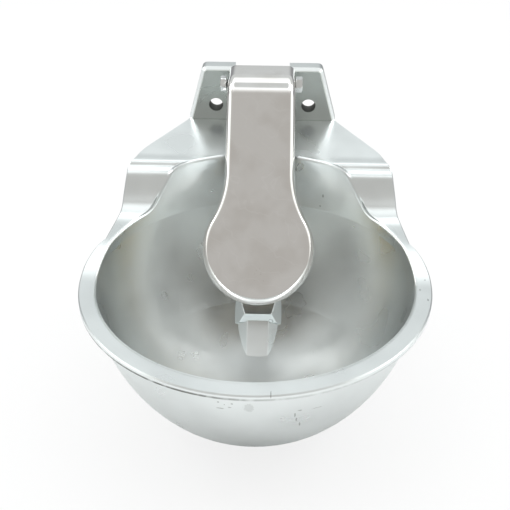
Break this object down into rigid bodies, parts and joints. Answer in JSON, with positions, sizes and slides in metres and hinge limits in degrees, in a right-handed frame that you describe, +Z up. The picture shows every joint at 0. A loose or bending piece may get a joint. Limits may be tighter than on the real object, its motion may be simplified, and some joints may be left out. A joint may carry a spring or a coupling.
{
  "type": "livestock drinking bowl",
  "caption": "Wall-mounted cast drinking bowl for livestock, with a pressed steel tongue that opens a spring-closed water valve.",
  "frame": {"origin": "on the wall face, midway between the two wall holes", "axes": "+Y into the wall, +Z up; the bowl reaches out along -Y"},
  "size_m": [0.231, 0.277, 0.2],
  "materials": {
    "cast_aluminium": "satin as-cast aluminium",
    "polished_steel": "polished stainless steel",
    "zinc_steel": "bright zinc plate",
    "brass": "turned brass",
    "black_rubber": "matt rubber",
    "stem_steel": "stainless steel, turned or drawn"
  },
  "bodies": {
    "bowl": {"bowl_casting": "cast_aluminium", "hinge_bolt": "zinc_steel", "hinge_nut": "zinc_steel", "valve_body": "brass", "seat_nozzle": "stem_steel", "front_gasket": "black_rubber", "back_washer": "black_rubber", "lock_nut": "brass", "outlet_cap": "brass", "cap_gasket": "black_rubber", "valve_spring": "stem_steel", "spring_retainer": "brass", "retaining_clip": "stem_steel", "inlet_strainer": "stem_steel"},
    "paddle": {"paddle": "polished_steel"},
    "stem": {"valve_stem": "stem_steel", "seat_washer": "black_rubber", "washer_cup": "brass", "stem_nut": "stem_steel"}
  },
  "joints": [
    {"name": "paddle_hinge", "type": "hinge", "parent": "bowl", "child": "paddle", "pos_m": [0, -0.027, 0.024], "axis": [1, 0, 0], "range_deg": [0, 3.3]},
    {"name": "stem_slide", "type": "slide", "parent": "bowl", "child": "stem", "axis": [0, 0.7741, -0.633], "range_m": [0, 0.0072], "stiffness_N_per_m": 1500, "springref_m": -0.006, "deforming": ["valve_spring"]}
  ],
  "couplings": [
    {"joint": "stem_slide", "follows": "paddle_hinge", "m_per_rad": 0.12057}
  ]
}
